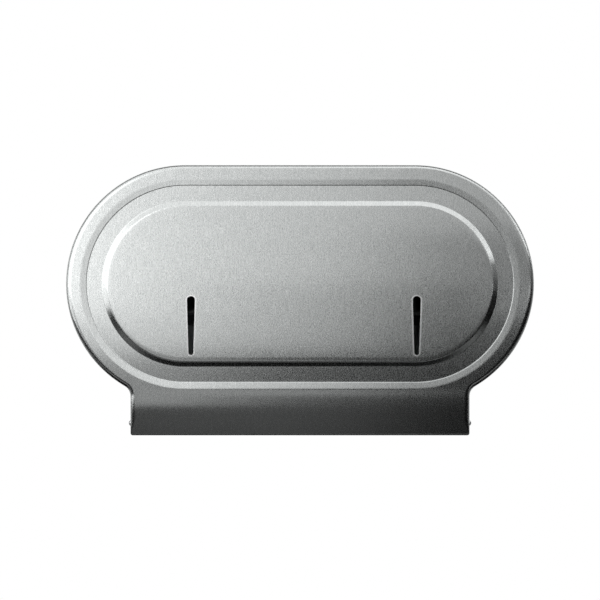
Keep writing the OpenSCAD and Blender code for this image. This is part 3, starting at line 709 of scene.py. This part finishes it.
# %% Shader maths
class Wire:
    """An output socket that takes part in Python expressions."""

    def __init__(self, finish, socket):
        self.finish, self.socket = finish, socket

    def maths(self, operation, *others, clamp=False):
        return self.finish.node("ShaderNodeMath", dict(operation=operation, use_clamp=clamp), *others)

    def __add__(self, other):
        return self.maths("ADD", self, other)

    __radd__ = __add__

    def __sub__(self, other):
        return self.maths("SUBTRACT", self, other)

    def __rsub__(self, other):
        return self.maths("SUBTRACT", other, self)

    def __mul__(self, other):
        return self.maths("MULTIPLY", self, other)

    __rmul__ = __mul__

    def __truediv__(self, other):
        return self.maths("DIVIDE", self, other)

    def __rtruediv__(self, other):
        return self.maths("DIVIDE", other, self)

    def highest(self, other):
        return self.maths("MAXIMUM", self, other)

    def clamped(self):
        return self.maths("ADD", self, 0.0, clamp=True)


print("shader maths ready")

# %% [markdown]
# Every other node goes through one method, which takes a node's type, its settings and
# the values of its sockets. The rest of the class gives short names to the few nodes
# that the finishes are made of.


# %% Shader nodes
class Finish:
    """A material, or the world, under construction."""

    def __init__(self, name, kind=bpy.data.materials):
        self.made = kind.new(name)
        self.made.use_nodes = True
        self.tree = self.made.node_tree
        self.tree.nodes.clear()

    def node(self, kind, settings=None, *values, output=0, **named):
        made = self.tree.nodes.new(kind)
        for key, value in (settings or {}).items():
            setattr(made, key, value)
        for key, value in [*enumerate(values), *named.items()]:
            socket = made.inputs[key if isinstance(key, int) else key.replace("_", " ")]
            if isinstance(value, Wire):
                self.tree.links.new(value.socket, socket)
            elif value is not None:
                socket.default_value = value
        return Wire(self, made.outputs[output]) if made.outputs else None

    def colour(self, low, high, share):
        """A colour between two, by a share that varies over the surface."""
        return self.mixed((*low, 1), (*high, 1), share)

    def mixed(self, low, high, share):
        """The same, where either colour may be a wire."""
        full = [c if isinstance(c, Wire) or len(c) == 4 else (*c, 1) for c in (low, high)]
        for_numbers = [None] * 5
        settings = dict(data_type="RGBA")
        return self.node("ShaderNodeMix", settings, share, *for_numbers, *full, output=2)

    def stretch(self, source, scale):
        return self.node("ShaderNodeMapping", None, source, Scale=scale)

    def place(self):
        """Where a point lies on the piece, in metres, however the piece moves."""
        return self.node("ShaderNodeTexCoord", output="Object")

    def noise(self, vector, scale, detail=2.0, roughness=0.5):
        values = dict(Scale=scale, Detail=detail, Roughness=roughness)
        return self.node("ShaderNodeTexNoise", None, Vector=vector, **values)

    def metal(self, colour, roughness, normal=None, anisotropic=0.0, metallic=1.0):
        values = dict(Base_Color=colour, Roughness=roughness, Metallic=metallic, Normal=normal)
        shader = self.node("ShaderNodeBsdfPrincipled", None, **values, Anisotropic=anisotropic)
        self.node("ShaderNodeOutputMaterial", None, shader)
        return self.made

    def bump(self, height, strength, distance):
        return self.node("ShaderNodeBump", None, Strength=strength, Distance=distance, Height=height)


print("shader nodes ready")

# %% [markdown]
# Brushed stainless steel: a belt has scratched it along one direction, which is up and
# down on the front and follows the sheet round the rim. Fine scratches a fraction of a
# millimetre wide and some millimetres long change the colour, roughness and slope: the
# noise is stretched to so many scratches a metre, across and along. They also spread
# each reflection sideways, which the shader's anisotropy gives. A picture of brushed
# metal would repeat and blur close up, and noise doesn't. At the holes a painted
# highlight mixes the colour towards white and makes the sheet a little rougher.


# %% Brushed stainless
def brushed_stainless():
    finish = Finish("brushed stainless")
    grain = finish.node("ShaderNodeUVMap", dict(uv_map="grain"))
    fine = finish.noise(finish.stretch(grain, (2200, 320, 1)), 1.0, 2.0, 0.6)
    long = finish.noise(finish.stretch(grain, (800, 60, 1)), 1.0, 2.0, 0.5)
    cloud = finish.noise(grain, 14.0, 2.0, 0.5)
    scratches = fine * 0.7 + long * 0.3
    polish = finish.node("ShaderNodeAttribute", dict(attribute_name="polish"), output="Fac")
    steel = finish.colour((0.50, 0.52, 0.515), (0.72, 0.735, 0.73), (scratches - 0.5) * 3.6 + 0.5)
    # Painted highlight: on the lips and rings of the holes the colour goes near white.
    colour = finish.mixed(steel, (0.95, 0.96, 0.955), polish)
    roughness = (0.27 + (scratches - 0.5) * 0.16 + (cloud - 0.5) * 0.04) * (1 + polish * 0.6)
    normal = finish.bump(scratches, 0.35, 0.00006)
    return finish.metal(colour, roughness, normal, anisotropic=0.95)


cover.data.materials.append(brushed_stainless())
print("cover finished")

# %% [markdown]
# Plain sheet and rolled steel. The back plate and the doubler keep the mill's own dull
# skin, with soft clouds from the rolls; their colour is darker still, as painted shade
# for the dim inside of the closed cover. The brackets and rivets are zinc plated, which
# leaves a slightly blue, slightly blotchy coat. Springs and tear bars are cold rolled,
# darker, with long streaks.


# %% Sheet, zinc and spring steel
def mill_finish_and_shade():
    finish = Finish("mill finish steel")
    place = finish.place()
    clouds = finish.noise(place, 26.0, 3.0, 0.55)
    streaks = finish.noise(finish.stretch(place, (900, 900, 70)), 1.0, 2.0, 0.6)
    # Darker than mill skin alone: partly painted shade, so the inside seen through the slots stays dark.
    colour = finish.colour((0.22, 0.24, 0.24), (0.36, 0.38, 0.38), clouds * 0.5 + streaks * 0.5)
    roughness = 0.46 + (clouds - 0.5) * 0.18 + (streaks - 0.5) * 0.10
    return finish.metal(colour, roughness, finish.bump(streaks, 0.25, 0.00004))


def zinc_plate():
    finish = Finish("zinc plate")
    place = finish.place()
    blotches = finish.noise(place, 120.0, 4.0, 0.6)
    specks = finish.noise(place, 2600.0, 1.0, 0.5)
    colour = finish.colour((0.48, 0.53, 0.58), (0.70, 0.71, 0.69), blotches)
    roughness = 0.34 + (blotches - 0.5) * 0.25 + (specks - 0.5) * 0.10
    return finish.metal(colour, roughness, finish.bump(specks, 0.2, 0.00003))


def spring_steel():
    finish = Finish("spring steel")
    place = finish.place()
    streaks = finish.noise(finish.stretch(place, (60, 1500, 1500)), 1.0, 3.0, 0.6)
    colour = finish.colour((0.30, 0.31, 0.33), (0.52, 0.53, 0.54), streaks)
    roughness = 0.28 + (streaks - 0.5) * 0.16
    return finish.metal(colour, roughness, finish.bump(streaks, 0.2, 0.00003))


print("sheet, zinc and spring steel ready")

# %% [markdown]
# Turned parts carry the lathe's fine rings round their own axis: across the cylinder they
# are stripes at right angles to the axis. So one recipe takes the direction of the axis.
# Nickel on the lock is smoother and warmer, with fine scuffs all over.


# %% Turned steel and nickel
def turned_steel(name, along):
    finish = Finish(name)
    place = finish.place()
    lathe = finish.noise(finish.stretch(place, along), 1.0, 2.0, 0.7)
    stains = finish.noise(place, 200.0, 3.0, 0.6)
    colour = finish.colour((0.60, 0.61, 0.62), (0.78, 0.78, 0.78), lathe * 0.6 + stains * 0.4)
    roughness = 0.20 + (lathe - 0.5) * 0.14 + (stains - 0.5) * 0.12
    return finish.metal(colour, roughness, finish.bump(lathe, 0.25, 0.00003))


def nickel():
    finish = Finish("nickel plate")
    place = finish.place()
    scuffs = finish.noise(finish.stretch(place, (2200, 500, 500)), 1.0, 3.0, 0.65)
    stains = finish.noise(place, 260.0, 3.0, 0.6)
    colour = finish.colour((0.58, 0.55, 0.50), (0.74, 0.72, 0.68), stains)
    roughness = 0.16 + (scuffs - 0.5) * 0.18 + (stains - 0.5) * 0.08
    return finish.metal(colour, roughness, finish.bump(scuffs, 0.15, 0.00002))


print("turned steel and nickel ready")

# %% [markdown]
# Two plastics. The hubs are moulded in dark grey with the fine spark texture of the
# mould, which breaks up their gloss. The washers are natural nylon, off-white and waxy.


# %% Plastics
def hub_plastic():
    finish = Finish("moulded hub plastic")
    place = finish.place()
    texture = finish.noise(place, 2400.0, 2.0, 0.6)
    clouds = finish.noise(place, 45.0, 2.0, 0.5)
    colour = finish.colour((0.030, 0.033, 0.034), (0.060, 0.065, 0.066), texture * 0.5 + clouds * 0.5)
    roughness = 0.50 + (texture - 0.5) * 0.20 + (clouds - 0.5) * 0.10
    return finish.metal(colour, roughness, finish.bump(texture, 0.4, 0.00005), metallic=0.0)


def natural_nylon():
    finish = Finish("natural nylon")
    place = finish.place()
    clouds = finish.noise(place, 180.0, 3.0, 0.6)
    colour = finish.colour((0.70, 0.67, 0.58), (0.82, 0.80, 0.73), clouds)
    roughness = 0.42 + (clouds - 0.5) * 0.16
    return finish.metal(colour, roughness, finish.bump(clouds, 0.2, 0.00003), metallic=0.0)


print("plastics ready")

# %% [markdown]
# Each node of the frame names its slot in the record, so finishes go on by slot.
# Pins lie across the dispenser and posts stand out of the wall, which decides the
# direction of their turning rings.

# %% Finish every piece of the frame
rings_across = turned_steel("turned steel pins", (5200, 260, 260))
rings_out = turned_steel("turned steel posts", (260, 5200, 260))
finishes = dict(plate_steel=mill_finish_and_shade(), zinc_plated=zinc_plate(), turned_steel=rings_out,
                spring_steel=spring_steel(), nylon=natural_nylon(), hub_plastic=hub_plastic(),
                lock_nickel=nickel())
shown = 0
for part in frame["record"]["subparts"]:
    name, slot = part["node"], part["material_slot"]
    if name == "cover_shell":
        continue
    material = rings_across if name.endswith("hinge_pin") else finishes[slot]
    piece = frame["nodes"][name]
    piece.data.materials.clear()
    piece.data.materials.append(material)
    shown += 1
print("nodes finished:", shown, "of", len(frame["nodes"]))

# %% [markdown]
# A catalogue photograph stands on pure white, yet steel mirrors what is in front of it.
# So the white room is written as a background of strength 1, for what the camera sees
# and what gloss and glass mirror, and far less of it lights the dull surfaces.

# %% White room
def background_rays(finish):
    """1 for the rays that may see the white background, 0 for the rest."""
    camera_ray = finish.node("ShaderNodeLightPath", output="Is Camera Ray")
    glossy_ray = finish.node("ShaderNodeLightPath", output="Is Glossy Ray")
    transmission_ray = finish.node("ShaderNodeLightPath", output="Is Transmission Ray")
    return camera_ray.highest(glossy_ray).highest(transmission_ray)


room = Finish("white room", bpy.data.worlds)
room_level = 0.15
dim = room.node("ShaderNodeBackground", None, (1, 1, 1, 1), room_level)
white = room.node("ShaderNodeBackground", None, (1, 1, 1, 1), 1.0)
seen = room.node("ShaderNodeMixShader", None, background_rays(room), dim, white)
room.node("ShaderNodeOutputWorld", None, seen)
bpy.context.scene.world = room.made
bpy.context.scene.view_settings.view_transform = "Standard"
print("world ready")

# %% [markdown]
# The floor is a pale disc well below the dispenser. It takes a soft shadow, lets more
# than half of the white room show, and fades out towards its edge so that no horizon
# shows. A solid floor would look grey beside the white room. Seen from underneath it
# lets the camera through.

# %% Floor
floor_z, floor_r, fade_start, floor_share = -0.85, 1.6, 0.5, 0.45
floor_mesh = bpy.data.meshes.new("floor")
floor_corners = [(floor_r * x, floor_r * y, 0) for x, y in ((-1, -1), (1, -1), (1, 1), (-1, 1))]
floor_mesh.from_pydata(floor_corners, [], [(0, 1, 2, 3)])
floor = bpy.data.objects.new("floor", floor_mesh)
floor.location.z = floor_z
bpy.context.scene.collection.objects.link(floor)
pale = Finish("pale floor")
length = dict(operation="LENGTH")
from_middle = pale.node("ShaderNodeVectorMath", length, pale.place(), output="Value")
underneath = pale.node("ShaderNodeNewGeometry", output="Backfacing")
solid = ((floor_r - from_middle) / (floor_r - fade_start)).clamped() * (1 - underneath) * floor_share
clear = pale.node("ShaderNodeBsdfTransparent")
paint = pale.node("ShaderNodeBsdfDiffuse", None, (0.82, 0.82, 0.82, 1))
faded = pale.node("ShaderNodeMixShader", None, solid, clear, paint)
pale.node("ShaderNodeOutputMaterial", None, faded)
floor_mesh.materials.append(pale.made)
print("floor at", floor_z, "m")

# %% [markdown]
# Soft boxes make the look of brushed steel: each part of the front mirrors the part of
# the lights that lies straight before it, blurred sideways by the grain. The photograph
# is bright at the upper left and falls off to the right and to the foot, so a large box
# stands before the upper left, with weaker ones beside it. One hangs above, and one on
# each side lights the walls of the groove. Four weak ones, low in front and far back
# above and at the sides, only show from elsewhere. The boxes in front stand a small
# step behind each other. A picture of a studio could light the scene too, but lamps have
# names and sizes, so one can be moved or dimmed by itself while the look is set against
# the photograph. A level of 1 makes a lamp as bright as the white room.

# %% Soft boxes
screen_y, box_step = -0.45, 0.004
white_power = 4


def soft_box(name, middle, facing, width, height, level):
    data = bpy.data.lights.new(name, "AREA")
    data.shape, data.size, data.size_y = "RECTANGLE", width, height
    data.energy = white_power * level * width * height
    made = bpy.data.objects.new(name, data)
    made.location = middle
    made.rotation_euler = Vector(facing).to_track_quat("-Z", "Y").to_euler()
    made.visible_camera = False
    bpy.context.scene.collection.objects.link(made)


def front_box(name, left, right, low, high, level):
    middle = ((left + right) / 2, screen_y + box_step * len(bpy.data.lights), (low + high) / 2)
    soft_box(name, middle, (0, 1, 0), right - left, high - low, level)


front_box("key box", -0.9, -0.3, -0.04, 0.6, 1.6)
front_box("middle box", -0.5, 0.1, -0.08, 0.6, 0.47)
front_box("tall strip", -0.3, -0.1, -0.22, 0.6, 0.33)
front_box("right box", -0.1, 0.9, 0.0, 0.6, 0.16)
front_box("upper right box", 0.1, 0.9, 0.06, 0.6, 0.20)
front_box("right glint", 0.3, 0.5, -0.04, 0.0, 0.77)
front_box("low glint", -0.1, 0.1, -0.16, -0.12, 0.31)
front_box("low box", -0.3, 0.1, -0.30, -0.16, 0.08)
front_box("left low box", -0.9, -0.45, -0.20, -0.04, 1.0)
front_box("foot box", -0.9, 0.9, -0.66, -0.40, 0.2)
soft_box("top box", (0, -0.24, 0.6), (0, 0, -1), 1.8, 0.42, 0.98)
soft_box("left box", (-0.9, -0.3, 0.175), (1, 0, 0), 0.3, 0.85, 1.4)
soft_box("right side box", (0.9, -0.3, 0.41), (-1, 0, 0), 0.3, 0.38, 1.8)
soft_box("rear top box", (0, 0.55, 0.6), (0, 0, -1), 1.8, 0.8, 0.35)
soft_box("left rear box", (-0.9, 0.5, -0.05), (1, 0, 0), 0.9, 1.1, 0.4)
soft_box("right rear box", (0.9, 0.5, -0.05), (-1, 0, 0), 0.9, 1.1, 0.3)
print("lamps:", len(bpy.data.lights))

# %% [markdown]
# Black cards stand behind the lamps, above, below and at the sides, as round any shiny
# product. They keep the white room out of the reflections on the front, and draw the
# thin dark lines along its edges. Only glossy rays see them.

# %% Black cards
near_y, far_y, side_x, under_z, over_z = -0.8, 1.0, 1.05, -0.7, 0.75


def rectangle(low_a, high_a, low_b, high_b):
    return [(low_a, low_b), (high_a, low_b), (high_a, high_b), (low_a, high_b)]


def card(name, corners):
    mesh = bpy.data.meshes.new(name)
    mesh.from_pydata(corners, [], [(0, 1, 2, 3)])
    mesh.materials.append(black_card)
    made = bpy.data.objects.new(name, mesh)
    made.visible_camera = made.visible_diffuse = False
    made.visible_transmission = made.visible_shadow = False
    bpy.context.scene.collection.objects.link(made)


black = Finish("black card")
felt = black.node("ShaderNodeBsdfDiffuse", None, (0.01, 0.01, 0.01, 1))
black.node("ShaderNodeOutputMaterial", None, felt)
black_card = black.made
card("front_card", [(x, near_y, z) for x, z in rectangle(-side_x, side_x, under_z, over_z)])
for x in (-side_x, side_x):
    card("side_card", [(x, y, z) for y, z in rectangle(near_y, far_y, under_z, over_z)])
for z in (under_z, over_z):
    card("flat_card", [(x, y, z) for x, y in rectangle(-side_x, side_x, near_y, far_y)])
print("cards in place, from", near_y, "to", far_y, "m")
